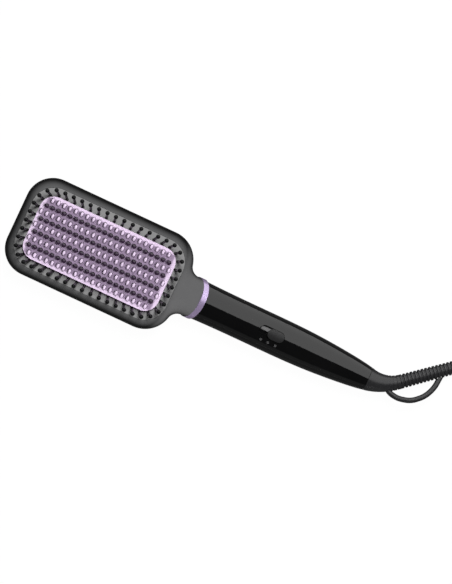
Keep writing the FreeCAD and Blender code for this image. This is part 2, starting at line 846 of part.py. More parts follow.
def inner_bristle_rails():
    """Four rails under the plate, each with a row of ball-tipped pins."""
    floor = value(BAR_BOTTOM)
    tall = value(f"{BED_TOP} - {BAR_BOTTOM}")
    wide = value("rail_width")
    long = value("(teeth_in_row - 2) * tooth_pitch + pin_stem")
    ball_z = value(PLATE_TOP) + value("pin_height")
    places = pin_places()
    rails = []
    for row in (-3, -1, 1, 3):
        y = row * value("row_pitch")
        pieces = []
        for place in places:
            if abs(place.y - y) < 1e-6:
                start = place + V(0, 0, floor + tall / 2)
                pieces.append(stem(start, place + V(0, 0, ball_z), value("pin_stem")))
                pieces.append(Part.makeSphere(value("pin_ball") / 2, place + V(0, 0, ball_z)))
        rail = Part.makeBox(long, wide, tall, V(-long / 2, y - wide / 2, floor))
        rails.append(rail.fuse(pieces).removeSplitter())
    return solid("inner_bristle_rails", Part.makeCompound(rails))


STACK_LENGTH = "(plate_length - 2 * bed_window_inset - 2 * slide_gap)"
STACK_WIDTH = "(plate_width - 2 * bed_window_inset - 2 * slide_gap)"


def heater_bars():
    """Three flat heaters between the rails."""
    return group("heater_bars", *[
        centred_box(
            f"heater_bar_{number}", "0", f"{number} * 2 * row_pitch", BAR_BOTTOM,
            "(teeth_in_row - 2) * tooth_pitch", "bar_width", f"{BED_TOP} - {BAR_BOTTOM}")
        for number in (-1, 0, 1)
    ])


def stack_holes(name):
    return screw_places(
        name,
        lambda hole, x, y: cylinder(hole, x, y, "0", "screw_shank + 2 * fit_gap", "head_depth"),
        "plate_screw_x", PLATE_SCREW_Y)


def mica_sheet():
    blank = centred_box("mica_blank", "0", "0", LIP_BOTTOM, STACK_LENGTH, STACK_WIDTH, "mica_thick")
    corners = plate_slab(
        "mica_outline", "-bed_window_inset - slide_gap", LIP_BOTTOM, f"({LIP_BOTTOM} + mica_thick)")
    return cut("mica_sheet", common("mica_rounded", blank, corners), *stack_holes("mica_hole"))


def heater_clamp():
    """Plate that pulls the stack up against the bed's lip."""
    blank = plate_slab("clamp_blank", "lip_thick - bed_window_inset", CLAMP_BOTTOM, LIP_BOTTOM)
    return cut("heater_clamp", blank, *stack_holes("clamp_hole"))


def plate_screws():
    """Screws from below, through the clamp into the plate's bosses."""
    return group("plate_screws", *screw_places(
        "plate_screw",
        lambda name, x, y: join(
            name,
            cylinder(f"{name}_shank", x, y, f"{CLAMP_BOTTOM} - screw_head_thick / 2", "screw_shank",
                     f"{BED_TOP} - 0.5 - {CLAMP_BOTTOM} + screw_head_thick / 2"),
            cylinder(f"{name}_head", x, y, f"{CLAMP_BOTTOM} - screw_head_thick", "screw_head",
                     "screw_head_thick")),
        "plate_screw_x", PLATE_SCREW_Y))


def thermal_fuse():
    z = f"{CLAMP_BOTTOM} - fuse_diameter / 2 - fit_gap"
    return rod("thermal_fuse", "-fuse_length / 2", "-row_pitch", z, "fuse_diameter", "fuse_length")


def temperature_sensor():
    z = f"{CLAMP_BOTTOM} - sensor_diameter / 2 - fit_gap"
    return rod("temperature_sensor", "fuse_length", "row_pitch", z, "sensor_diameter", "sensor_length")


# Handle: two shells lofted through upright ellipses

STATIONS = ("front", "fore", "mid", "rear", "taper", "tail")


def handle_loft(name, inset):
    sections = []
    for key in STATIONS:
        z = f"{key}_lift + {key}_half_depth"
        sections.append(ellipse(
            f"{name}_{key}", f"{key}_reach", z, f"{key}_half_width - {inset}", f"{key}_half_depth - {inset}"))
    end = f"end_radius - {inset}"
    sections.append(ellipse(f"{name}_end", "end_reach", "swivel_height", end, end))
    loft = doc.addObject("Part::Loft", name)
    loft.Sections = sections
    loft.Solid = True
    return loft


BUSH_END = "(end_reach - end_wall)"
BUSH_START = f"({BUSH_END} - bush_length)"
RECESS_LENGTH = "(knob_length + knob_travel + 2 * slide_gap)"
RECESS_WIDTH = "(knob_width + 2 * slide_gap)"
BOARD_BOTTOM = "(board_top - board_thick)"

handle_form = handle_loft("handle_form", "0")
handle_blank = common("handle_blank", handle_form, handle_side)
inner_form = common(
    "handle_cavity", handle_loft("handle_inner_form", "casing_wall"),
    box("cavity_zone", "bore_end", "-end_reach / 2", "-end_reach / 2", f"{BUSH_START} - bore_end",
        "end_reach", "end_reach"))
bush_seat = rod("bush_seat", f"{BUSH_START} - 1", "0", "swivel_height", "bush_diameter", "bush_length + 1")
shaft_hole = rod(
    "shaft_hole", BUSH_START, "0", "swivel_height", "shaft_diameter + 2 * shaft_gap", "end_reach")
LIGHTS = [f"(light_first + {number} * light_pitch)" for number in range(3)]


def oval_block(name, x, z, length, width, height):
    """An upright block with round ends, about (x, 0)."""
    return rounded_slab(name, length, width, f"({width} * 0.499)", z, f"({z} + {height})", x)


def light_rod(name, number):
    low = "board_top + led_height + fit_gap"
    return cylinder(name, LIGHTS[number], "-light_side", low, "light_diameter", "2 * mid_half_depth")


def light_pipes():
    """Three clear rods that end flush with the handle."""
    return group("light_pipes", *[
        common(f"light_pipe_{number}", light_rod(f"light_rod_{number}", number), handle_form)
        for number in range(3)
    ])


def screw_post(name, x, z, height):
    post = cylinder(name, x, "0", z, "screw_boss", height)
    return common(f"{name}_trimmed", post, handle_form)


def handle_front():
    """Upper shell with the switch recess, light holes and screw posts."""
    upper = half_space("handle_upper", "handle_split", "end_reach")
    shell = cut("front_hollow", common("front_half", handle_blank, upper),
                inner_form, neck_bore, bush_seat, shaft_hole)
    skin = oval_block("recess_skin_block", "recess_place", "(recess_floor - recess_skin)",
                      f"({RECESS_LENGTH} + 2 * casing_wall)", f"({RECESS_WIDTH} + 2 * casing_wall)",
                      "mid_half_depth")
    posts = [
        screw_post(f"front_post_{key}", f"{key}_screw", "handle_split", "end_reach")
        for key in ("fore", "rear")
    ]
    joined = join("front_joined", shell, common("recess_skin", skin, handle_form), *posts)
    recess = oval_block("recess", "recess_place", "recess_floor", RECESS_LENGTH, RECESS_WIDTH,
                        "mid_half_depth")
    slot = centred_box("stem_slot", "recess_place", "0", "recess_floor - 2 * recess_skin",
                       "stem_length + knob_travel + 2 * slide_gap", "stem_width + 2 * slide_gap",
                       "4 * recess_skin")
    holes = [light_rod(f"light_hole_{number}", number) for number in range(3)]
    bores = [
        cylinder(f"front_bore_{key}", f"{key}_screw", "0", "0", "screw_shank", "handle_split + screw_recess")
        for key in ("fore", "rear")
    ]
    return cut("handle_front_shell", joined, recess, slot, *holes, *bores)


def handle_rear():
    """Lower shell with board ribs and recessed screw holes."""
    lower = half_space("handle_lower", "-end_reach", "end_reach + handle_split")
    shell = cut("rear_hollow", common("rear_half", handle_blank, lower),
                inner_form, neck_bore, bush_seat, shaft_hole)
    ribs = []
    for key, x in (("fore", "board_start + post_inset"), ("rear", "board_start + board_length - post_inset")):
        rib = centred_box(f"board_rib_{key}", x, "0", "0", "post_thick", "4 * front_half_width", BOARD_BOTTOM)
        ribs.append(common(f"board_rib_{key}_trimmed", rib, handle_form))
    posts = [
        screw_post(f"rear_post_{key}", f"{key}_screw", "0", "handle_split") for key in ("fore", "rear")
    ]
    bores = []
    for key in ("fore", "rear"):
        bores.append(cylinder(f"rear_bore_{key}", f"{key}_screw", "0", "-1", "screw_shank", "end_reach"))
        bores.append(cylinder(
            f"rear_seat_{key}", f"{key}_screw", "0", "-1", "screw_head",
            "screw_recess + 1 + screw_head_thick"))
    return cut("handle_rear_shell", join("rear_joined", shell, *ribs, *posts), *bores)


def handle_screws():
    """Two screws from the back, sunk in the rear shell."""
    pieces = []
    for key in ("fore", "rear"):
        name = f"handle_screw_{key}"
        x = f"{key}_screw"
        pieces.append(join(
            name,
            cylinder(f"{name}_head", x, "0", "screw_recess", "screw_head", "screw_head_thick"),
            cylinder(f"{name}_shank", x, "0", "screw_recess + screw_head_thick / 2", "screw_shank",
                     "handle_split - screw_head_thick / 2 - 1")))
    return group("handle_screws", *pieces)


def collar_ring():
    blank = elliptic_rod(
        "ring_blank", "(ring_side - head_depth)", "(ring_side + head_depth)", f"({HEAD_MID} + ring_lift)",
        "(neck_width / 2 + ring_proud)", f"({HEAD_MID} + ring_proud)")
    return cut("collar_ring", common("ring_slice", blank, ring_slab), neck_bore)


def joining_sleeve():
    """Tube that the head and the handle both clamp on."""
    outer = elliptic_rod("sleeve_outside", "sleeve_start", "(bore_end - fit_gap)", HEAD_MID,
                         "(bore_half_width - fit_gap)", "(bore_half_depth - fit_gap)")
    inner = elliptic_rod("sleeve_inside", "(sleeve_start - 1)", "(bore_end + 1)", HEAD_MID,
                         "(bore_half_width - fit_gap - sleeve_wall)",
                         "(bore_half_depth - fit_gap - sleeve_wall)")
    return cut("joining_sleeve", outer, inner)


# Control board

BOARD_MIDDLE = "(board_start + board_length / 2)"
SWITCH_TOP = "(board_top + switch_body_height)"


def circuit_board():
    blank = centred_box("board_blank", BOARD_MIDDLE, "0", BOARD_BOTTOM, "board_length", "board_width",
                        "board_thick")
    return common("circuit_board", blank, inner_form)


def indicator_leds():
    return group("indicator_leds", *[
        centred_box(f"led_{number}", LIGHTS[number], "-light_side", "board_top", "led_length",
                    "led_length", "led_height")
        for number in range(3)
    ])


def slide_switch_body():
    """Switch on the board, with a groove that the knob's stem runs in."""
    blank = centred_box("switch_blank", "recess_place", "0", "board_top", "switch_body_length",
                        "switch_body_width", "switch_body_height")
    groove = centred_box("switch_groove", "recess_place", "0", f"{SWITCH_TOP} - stem_dip - slide_gap",
                         "stem_length + knob_travel + 2 * slide_gap", "stem_width + 2 * slide_gap",
                         "switch_body_height")
    return cut("slide_switch_body", blank, groove)


def board_piece(name, x, y, length, width, height):
    return centred_box(name, x, y, "board_top", length, width, height)


CHIP_PLACE = "(board_start + post_inset + chip_length)"
TRIAC_SIDE = "(board_width / 2 - triac_width / 2 - 1)"


# Slide switch

def switch_knob():
    """Oval knob, crowned like the handle, with a stem down to the switch."""
    top = "(2 * mid_half_depth + mid_lift + knob_proud)"
    low = "(recess_floor + slide_gap)"
    block = oval_block("knob_block", "knob_place", low, "knob_length", "knob_width", f"({top} - {low})")
    crown = rod("knob_crown", "knob_place - knob_length", "0", f"{top} - mid_half_width",
                "2 * mid_half_width", "2 * knob_length")
    cap = common("knob_cap", block, crown)
    tip = f"({SWITCH_TOP} - stem_dip)"
    post = centred_box("knob_stem", "knob_place", "0", tip, "stem_length", "stem_width",
                       f"{low} + slide_gap - {tip}")
    return join("switch_knob", cap, post)


def switch_slider():
    """Plate under the recess that keeps the knob in."""
    z = "slider_bottom"
    blank = centred_box("slider_blank", "knob_place", "0", z, "slider_length", "slider_width", "slider_thick")
    hole = centred_box("slider_hole", "knob_place", "0", f"{z} - 1", "stem_length", "stem_width",
                       "slider_thick + 2")
    return cut("switch_slider", blank, hole)


# Swivel: shaft in the handle's end, bent boot, ribbed sleeve and hanging loop

FLANGE_END = f"({BUSH_START} - shaft_gap)"
NEAR_RING = "(shaft_start + slip_ring_gap)"
FAR_RING = f"({NEAR_RING} + slip_ring_thick + slip_ring_gap)"
BOOT_START = "(end_reach + shaft_gap)"


def swivel_bush():
    outer = rod("bush_outside", BUSH_START, "0", "swivel_height", "bush_diameter", "bush_length")
    return cut("swivel_bush", outer, shaft_hole)


def slip_rings():
    rings = []
    for key, x in (("near", NEAR_RING), ("far", FAR_RING)):
        outer = rod(f"{key}_ring_outside", x, "0", "swivel_height", f"{key}_ring_diameter", "slip_ring_thick")
        inner = rod(f"{key}_ring_inside", f"{x} - 1", "0", "swivel_height", "shaft_diameter",
                    "slip_ring_thick + 2")
        rings.append(cut(f"{key}_slip_ring", outer, inner))
    return group("slip_rings", *rings)


def contact_springs():
    """A strip from the board to the side of each slip ring."""
    springs = []
    root = "(board_start + board_length - spring_width - 1)"
    for key, x, side in (("near", NEAR_RING, 1), ("far", FAR_RING, -1)):
        inner = f"({key}_ring_diameter / 2 + shaft_gap)"
        y = inner if side > 0 else f"(-{inner} - spring_thick)"
        strip = box(f"{key}_strip", root, y, "board_top", f"{x} + slip_ring_thick - {root}",
                    "spring_thick", "spring_width")
        springs.append(strip)
    return group("contact_springs", *springs)


def boot_place(angle):
    """A point on the boot's bent middle line, in the plane of the bend."""
    turn = math.radians(angle)
    bend = value("boot_bend")
    return V(value(BOOT_START) + bend * math.sin(turn), bend * (1 - math.cos(turn)), 0)


def boot_direction(angle):
    turn = math.radians(angle)
    return V(math.cos(turn), math.sin(turn), 0)


def circle(place, direction, diameter):
    return Part.Wire(Part.makeCircle(diameter / 2, place, direction))


SWIVEL_PLACE = FreeCAD.Placement(
    V(0, 0, value("swivel_height")), FreeCAD.Rotation(X_AXIS, -value("swivel_turn")))


def boot_diameter(share):
    """The boot's diameter, which falls fast at first and then levels out."""
    wide, narrow = value("2 * end_radius"), value("boot_end_diameter")
    return narrow + (wide - narrow) * (1 - share) ** value("boot_taper")


def boot_grooves():
    """Rings cut into the boot's last stretch, each deeper than the one before."""
    angle, wide = value("boot_angle"), value("groove_width")
    step = math.degrees(value("rib_pitch / boot_bend"))
    count = int(value("boot_grooves"))
    rings = []
    for number in range(1, count + 1):
        turn = angle - number * step
        depth = value("groove_depth") * (count + 1 - number) / count
        start = boot_place(turn) - boot_direction(turn) * (wide / 2)
        outside = Part.makeCylinder(value("2 * end_radius"), wide, start, boot_direction(turn))
        core = boot_diameter(turn / angle) / 2 - depth
        rings.append(outside.cut(Part.makeCylinder(core, wide, start, boot_direction(turn))))
    return rings


def swivel_boot():
    """Shaft with its flange, and the boot that bends away from it."""
    angle = value("boot_angle")
    steps = 6
    shares = [step / steps for step in range(steps + 1)]
    boot = Part.makeLoft([
        circle(boot_place(angle * share), boot_direction(angle * share), boot_diameter(share))
        for share in shares
    ], True)
    start = value("shaft_start")
    shaft = Part.makeCylinder(
        value("shaft_diameter") / 2, value(BOOT_START) + 1 - start, V(start, 0, 0), X_AXIS)
    thick = value("flange_thick")
    flange = Part.makeCylinder(
        value("flange_diameter") / 2, thick, V(value(FLANGE_END) - thick, 0, 0), X_AXIS)
    return boot.cut(boot_grooves()).fuse([shaft, flange]).removeSplitter()


def sleeve_length():
    return value("rib_pitch * (rib_count + 1)")


# A rib's flanks: how far along, as a share of the pitch, and how far down, as a share of the depth
RIB_SHAPE = [(0.0, 1.0), (0.16, 0.0), (0.64, 0.0), (0.8, 1.0)]


def ribbed_sleeve():
    """Tapered sleeve with square ribs, and a plain collar at its end."""
    pitch, depth = value("rib_pitch"), value("rib_depth")
    wide, narrow = value("boot_end_diameter"), value("sleeve_end_diameter")
    length = sleeve_length()
    wires = []
    for number in range(int(value("rib_count"))):
        for share, fall in RIB_SHAPE:
            along = (number + share) * pitch
            diameter = ease(wide, narrow, along / length) - 2 * depth * fall
            wires.append(circle(V(along, 0, 0), X_AXIS, diameter))
    wires.append(circle(V(length, 0, 0), X_AXIS, narrow - 2 * depth))
    sleeve = Part.makeLoft(wires, True, True)
    sleeve.Placement = sleeve_place()
    return sleeve


def sleeve_place():
    angle = value("boot_angle")
    return FreeCAD.Placement(boot_place(angle), FreeCAD.Rotation(Z_AXIS, angle))


# Bent tubes: straight runs joined by the largest tangent arcs

def rounded_path(points, share=0.45, notes=None):
    """A wire of straight runs and tangent arcs through hand-chosen points."""
    edges = []
    here = points[0]
    for before, corner, after in zip(points, points[1:], points[2:]):
        back, ahead = before - corner, after - corner
        reach = share * min(back.Length, ahead.Length)
        turn = math.pi - back.getAngle(ahead)
        radius = reach / math.tan(turn / 2)
        first = corner + V(back).normalize() * reach
        last = corner + V(ahead).normalize() * reach
        inward = (V(back).normalize() + V(ahead).normalize()).normalize()
        middle = corner + inward * (radius / math.cos(turn / 2) - radius)
        edges.append(Part.LineSegment(here, first).toShape())
        edges.append(Part.Arc(first, middle, last).toShape())
        here = last
        if notes is not None:
            notes.append(radius)
    edges.append(Part.LineSegment(here, points[-1]).toShape())
    return Part.Wire(edges)


def tube(path, diameter):
    """A round tube along a wire."""
    start = path.Edges[0].valueAt(path.Edges[0].FirstParameter)
    ahead = path.Edges[0].tangentAt(path.Edges[0].FirstParameter)
    shell = Part.BRepOffsetAPI.MakePipeShell(path)
    shell.add(circle(start, ahead, diameter))
    shell.build()
    shell.makeSolid()
    return shell.shape()


# The loop's bends, as shares of the line from the boot's middle to the sleeve's: along it and out from it
LOOP_SHAPE = [(0.026, 0.159), (0.142, 0.287), (0.347, 0.379), (0.589, 0.356), (0.775, 0.254)]


def loop_points():
    """From inside the boot, round the outside of its bend, into the sleeve."""
    angle = value("boot_angle")
    start = boot_place(angle * value("loop_start_share"))
    end = boot_place(angle) + boot_direction(angle) * value("loop_along")
    line = end - start
    out = V(line.y, -line.x, 0)
    return [start, *[start + line * along + out * away for along, away in LOOP_SHAPE], end]


def hanging_loop(boot):
    """Bent finger from the boot's outer side to the sleeve."""
    finger = tube(rounded_path(loop_points()), value("loop_diameter"))
    envelope = Part.makeCone(
        value("boot_end_diameter") / 2, value("sleeve_end_diameter") / 2, sleeve_length(), V(), X_AXIS)
    envelope.Placement = sleeve_place()
    return finger.cut([boot, envelope])


def heater_wires():
    """Leads from the heaters through the neck to the board."""
    radius = value("wire_diameter") / 2
    high = value(f"{CLAMP_BOTTOM} - slide_gap") - radius
    low = value("board_top") + radius
    neck, lead = value("sleeve_start"), value("wire_lead")
    end = value("board_start + post_inset")
    pieces = []
    clear = value("screw_boss / 2 + fit_gap") + radius
    for side, lane in ((-1, 1), (-1, 0), (1, 0), (1, 1)):
        y = side * (clear + lane * value("wire_step"))
        points = [V(neck - 2 * lead, y, high), V(neck - lead, y, high), V(neck, y, low), V(end, y, low)]
        pieces.append(tube(rounded_path(points), 2 * radius))
    return Part.makeCompound(pieces)


# Cord: the free stretch, the coil that is put away, the tail and the plug

CORD_Z = value("cord_diameter") / 2


def sleeve_end():
    """The middle of the sleeve's end face, and the way that it points."""
    angle = value("boot_angle")
    place = boot_place(angle) + boot_direction(angle) * sleeve_length()
    return SWIVEL_PLACE.multVec(place), SWIVEL_PLACE.Rotation.multVec(boot_direction(angle))


def coil_stops():
    """Turning points of the coil: one each half turn, with their radius and height."""
    radius, pitch = value("coil_radius"), value("coil_pitch")
    low = value("tie_thick + tie_gap") + CORD_Z
    high = low + pitch
    inward = int(value("half_turns_in"))
    outward = int(value("half_turns_out"))
    stops = [(radius - pitch / 2 * k, low) for k in range(inward)]
    inner = radius - pitch / 2 * inward
    stops.append((inner, high))
    stops.extend((inner + pitch / 2 * (k + 1), high) for k in range(1, outward + 1))
    return stops


def coil_points():
    """The coil's turning points, on alternate sides of its middle, clockwise from above."""
    centre = V(value("coil_centre_x"), value("coil_centre_y"), 0)
    turn = math.radians(value("coil_start_angle"))
    outward = V(math.cos(turn), math.sin(turn), 0)
    return [
        centre + outward * (radius if number % 2 == 0 else -radius) + V(0, 0, z)
        for number, (radius, z) in enumerate(coil_stops())
    ], outward


def coil_path():
    """Half circles from stop to stop, tangent to each other."""
    stops, outward = coil_points()
    ahead = V(outward.y, -outward.x, 0)
    edges = []
    for number, (start, end) in enumerate(zip(stops, stops[1:])):
        middle = (start + end) * 0.5
        side = ahead if number % 2 == 0 else -ahead
        edges.append(Part.Arc(start, middle + side * ((end - start).Length / 2), end).toShape())
    return Part.Wire(edges), ahead


def coil_gap(path):
    """The least clear space between the coil's turns, measured on points."""
    points = path.discretize(Distance=2.0)
    skip = int(value("4 * cord_diameter") / 2)
    least = min(
        (first - second).Length
        for index, first in enumerate(points) for second in points[index + skip:]
    )
    return least - value("cord_diameter")


coil_wire, coil_ahead = coil_path()
print("coil: length %.0f, least gap %.2f" % (coil_wire.Length, coil_gap(coil_wire)))


def coil_ends():
    """Where the coil's straight ends meet the rest of the cord."""
    stops, _ = coil_points()
    run = coil_ahead * value("cord_diameter")
    return stops[0] - run, stops[-1] + (run if len(stops) % 2 else -run)


def cord_coil():
    """The put-away length: two layers of turns, with a short straight run at each end."""
    stops, _ = coil_points()
    start, end = coil_ends()
    first = Part.makeLine(start, stops[0])
    last = Part.makeLine(stops[-1], end)
    return tube(Part.Wire([first, *coil_wire.Edges, last]), value("cord_diameter"))


def report_tube(name, path, shape, radii):
    ideal = path.Length * math.pi * CORD_Z ** 2
    print("%s: length %.0f, volume share %.4f, radii %s" % (
        name, path.Length, shape.Volume / ideal, ", ".join("%.0f" % r for r in radii)))


LEAD_POINTS = [
    V(301.0, 55.6, 3.1),
    V(330.0, 62.8, 3.1),
    V(362.0, 64.0, 3.1),
    V(409.9, 62.2, 4.3),
]

TAIL_POINTS = [
    V(412.2, -34.02, 10.8),
    V(395.7, -24.8, 8.4),
    V(384.4, -22.6, 6.85),
    V(373.0, -24.0, 6.85),
]


def power_cord():
    """From the sleeve's end to the coil."""
    exit_point, heading = sleeve_end()
    start = exit_point + heading * value("shaft_gap")
    radii = []
    path = rounded_path([start, *LEAD_POINTS, coil_ends()[0]], notes=radii)
    shape = tube(path, value("cord_diameter"))
    report_tube("power_cord", path, shape, radii)
    return shape


def cord_tail():
    """From the coil to the plug."""
    radii = []
    path = rounded_path([coil_ends()[1], *TAIL_POINTS], notes=radii)
    shape = tube(path, value("cord_diameter"))
    report_tube("cord_tail", path, shape, radii)
    return shape


def cord_tie():
    """A band around all the turns on one side of the coil."""
    stops = coil_stops()
    reach = [radius for number, (radius, _) in enumerate(stops) if number % 2]
    gap, thick, wide = value("tie_gap"), value("tie_thick"), value("tie_width")
    low = min(reach) - CORD_Z - gap
    high = max(reach) + CORD_Z + gap
    top = stops[-1][1] + CORD_Z + gap
    outer = Part.makeBox(high - low + 2 * thick, wide, top + thick, V(low - thick, -wide / 2, 0))
    inner = Part.makeBox(high - low, 2 * wide, top - thick, V(low, -wide, thick))
    band = outer.cut(inner)
    band.Placement = FreeCAD.Placement(
        V(value("coil_centre_x"), value("coil_centre_y"), 0),
        FreeCAD.Rotation(Z_AXIS, value("coil_start_angle") + 180))
    return band


def plug_place():
    """The plug's own X axis runs on from the tail, towards the pins."""
    before, end = TAIL_POINTS[-2:]
    heading = math.degrees(math.atan2(end.y - before.y, end.x - before.x))
    return FreeCAD.Placement(V(end.x, end.y, value("plug_depth") / 2), FreeCAD.Rotation(Z_AXIS, heading))


def rounded_section(x, width, depth, corner):
    """A rounded rectangle that faces along X."""
    a, b = width / 2, depth / 2
    r = corner * (1 - math.sqrt(0.5))
    edges = []
    for i, j in ((1, 1), (-1, 1), (-1, -1), (1, -1)):
        across, up = V(x, i * a, j * (b - corner)), V(x, i * (a - corner), j * b)
        ends = (across, up) if i * j > 0 else (up, across)
        edges.append(Part.Arc(ends[0], V(x, i * (a - r), j * (b - r)), ends[1]).toShape())
    lines = [
        Part.makeLine(first.valueAt(first.LastParameter), second.valueAt(second.FirstParameter))
        for first, second in zip(edges, edges[1:] + edges[:1])
    ]
    return Part.Wire([edge for pair in zip(edges, lines) for edge in pair])


def plug_body():
    """Flat two-pin plug with a tapered cord relief."""
    length, relief = value("plug_length"), value("plug_relief")
    width, depth, corner = value("plug_width"), value("plug_depth"), value("plug_corner")
    waist = (value("plug_tail_width"), value("plug_tail_depth"))
    shoulder = value("plug_shoulder")
    body = Part.makeLoft([
        rounded_section(relief, *waist, corner),
        rounded_section(shoulder, width, depth, corner),
        rounded_section(length, width, depth, corner),
    ], True, True)
    cone = Part.makeCone(CORD_Z + value("relief_wall"), value("relief_swell"), relief + 1, V(), X_AXIS)
    return body.fuse(cone).removeSplitter()


def plug_pins():
    pins = []
    for side in (-1, 1):
        foot = V(value("plug_length"), side * value("plug_pin_spacing") / 2, 0)
        pin = Part.makeCylinder(
            value("plug_pin_diameter") / 2, value("plug_pin_length"), foot, X_AXIS)
        tip = [edge for edge in pin.Edges if edge.BoundBox.XMin > foot.x + 1]
        pins.append(pin.makeFillet(value("plug_pin_diameter") / 4, tip))
    return Part.makeCompound(pins)


def placed(name, shape, placement):
    item = solid(name, shape)
    item.Placement = placement.multiply(item.Placement)
    return item


boot_shape = swivel_boot()

parts = [
    head_frame(),
    head_cover(),
    head_screws(),
    bristle_bed(),
    *bristle_strips(),
    heater_plate(),
    inner_bristle_rails(),
    heater_bars(),
    mica_sheet(),
    heater_clamp(),
    plate_screws(),
    thermal_fuse(),
    temperature_sensor(),
    solid("heater_wires", heater_wires()),
    collar_ring(),
    joining_sleeve(),
    handle_front(),
    handle_rear(),
    handle_screws(),
    light_pipes(),
    indicator_leds(),
    circuit_board(),
    slide_switch_body(),
    board_piece("controller_chip", CHIP_PLACE, "0", "chip_length", "chip_width", "chip_height"),
    board_piece("capacitor", "capacitor_place", "0", "capacitor_length", "capacitor_width",
                "capacitor_height"),
    board_piece("triac", f"({BOARD_MIDDLE} - triac_length)", TRIAC_SIDE, "triac_length", "triac_width",
                "triac_height"),
    switch_knob(),
    switch_slider(),
    swivel_bush(),
    slip_rings(),
    contact_springs(),
    placed("swivel_boot", boot_shape, SWIVEL_PLACE),
    placed("ribbed_sleeve", ribbed_sleeve(), SWIVEL_PLACE),
    placed("hanging_loop", hanging_loop(boot_shape), SWIVEL_PLACE),
    solid("power_cord", power_cord()),
    solid("cord_coil", cord_coil()),
    solid("cord_tail", cord_tail()),
    solid("cord_tie", cord_tie()),
    placed("plug_body", plug_body(), plug_place()),
    placed("plug_pins", plug_pins(), plug_place()),
]
doc.recompute()

failed = [item.Name for item in doc.Objects if {"Invalid", "Error"} & set(item.State)]
failed += [item.Label for item in parts if item.Shape.isNull() or not item.Shape.isValid()]
failed += [item.Label for item in parts if not item.Shape.Solids]
if failed:
    raise RuntimeError("not built: " + ", ".join(failed))

os.makedirs("parts", exist_ok=True)
for item in parts:
    item.Shape.exportStep(f"parts/{item.Label}.step")
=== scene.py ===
"""The looks of a heated straightening brush: finishes, cord, tie, floor, lights and camera."""

import json
import math

import bpy
from mathutils import Matrix, Vector


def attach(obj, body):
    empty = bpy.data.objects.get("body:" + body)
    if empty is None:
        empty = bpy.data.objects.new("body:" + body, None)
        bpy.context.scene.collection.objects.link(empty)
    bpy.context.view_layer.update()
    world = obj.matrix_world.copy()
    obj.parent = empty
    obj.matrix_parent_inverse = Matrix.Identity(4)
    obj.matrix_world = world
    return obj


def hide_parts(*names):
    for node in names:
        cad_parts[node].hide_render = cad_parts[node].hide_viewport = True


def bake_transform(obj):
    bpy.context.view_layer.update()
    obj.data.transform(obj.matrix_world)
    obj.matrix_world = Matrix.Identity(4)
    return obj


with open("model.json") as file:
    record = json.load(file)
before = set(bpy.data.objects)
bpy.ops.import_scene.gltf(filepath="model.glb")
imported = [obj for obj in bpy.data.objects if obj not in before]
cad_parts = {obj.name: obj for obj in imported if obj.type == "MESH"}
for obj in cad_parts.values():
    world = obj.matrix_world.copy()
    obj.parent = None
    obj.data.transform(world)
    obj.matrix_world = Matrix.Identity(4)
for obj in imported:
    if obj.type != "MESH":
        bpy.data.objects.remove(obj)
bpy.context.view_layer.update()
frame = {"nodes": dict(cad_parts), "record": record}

MM = 0.001
NODES = frame["nodes"]

# The cord's route: the points between the sleeve, the coil and the plug, and the coil's own sizes
CORD_DIAMETER = 6.0 * MM
SLEEVE_END = Vector((282.58, 40.69, 5.12)) * MM
LEAD_POINTS = [
    Vector(point) * MM
    for point in (
        (301.0, 55.6, 3.1), (330.0, 62.8, 3.1), (362.0, 64.0, 3.1), (409.9, 62.2, 4.3))
]
TAIL_POINTS = [
    Vector(point) * MM
    for point in (
        (412.2, -34.02, 10.8), (395.7, -24.8, 8.4), (384.4, -22.6, 6.85), (373.0, -24.0, 6.85))
]
COIL_CENTRE = Vector((436.0, 10.6, 0.0)) * MM
COIL_RADIUS = 47.5 * MM
COIL_PITCH = 6.5 * MM
COIL_START = math.radians(82.0)
COIL_LOW = 4.3 * MM
HALF_TURNS_IN = 7
HALF_TURNS_OUT = 6
POINTS_IN_HALF_TURN = 8
LINE_ORDER = 3
LINE_RESOLUTION = 4

# The photograph looks straight down, with the brush turned a little
CAMERA_PLACE = Vector((0.0973, 0.0140, 3.0))
CAMERA_TURN = math.radians(25.0)
CAMERA_LENS = 246.9


# Finishes

BROAD_SCALE = 45.0
# The part of a pattern's values over which tone and roughness change
PATTERN_RANGE = (0.3, 0.7)
BRUSHED_STRETCH = (0.04, 1.0, 1.0)
PLAIN_STRETCH = (1.0, 1.0, 1.0)

# Places in mm where a tone changes. Shade is painted into the head's colour: darker towards its
# outer edge, less so on the neck
RIM_HEIGHTS = (18.2, 24.3)
NECK_STRETCH = (54.0, 65.0)
NECK_EDGE_HEIGHTS = (14.0, 20.0)
# The plate keeps its light tone on the teeth's tops and along its flat margin; shade is painted in
# on the teeth's sides and between them, so the light tops stand as painted highlights
TOOTH_TOP_HEIGHTS = (31.2, 32.4)
MARGIN_HEIGHTS = (26.0, 25.35)
MARGIN_ENDS = (51.0, 53.0)
MARGIN_SIDES = (21.8, 23.4)


def new_material(name):
    """A material with its shader."""
    material = bpy.data.materials.new(name)
    material.use_nodes = True
    tree = material.node_tree
    return material, tree, tree.nodes["Principled BSDF"]


def node(tree, kind, **settings):
    """A node with its inputs and settings."""
    made = tree.nodes.new(kind)
    for name, setting in settings.items():
        socket = name.replace("_", " ")
        if socket in made.inputs:
            made.inputs[socket].default_value = setting
        else:
            setattr(made, name, setting)
    return made


def tones(tree, source, dark, light):
    """A ramp between two colours, driven by a pattern."""
    ramp = node(tree, "ShaderNodeValToRGB")
    for element, place, colour in zip(ramp.color_ramp.elements, PATTERN_RANGE, (dark, light)):
        element.position = place
        element.color = (*colour, 1)
    tree.links.new(source, ramp.inputs["Fac"])
    return ramp.outputs["Color"]


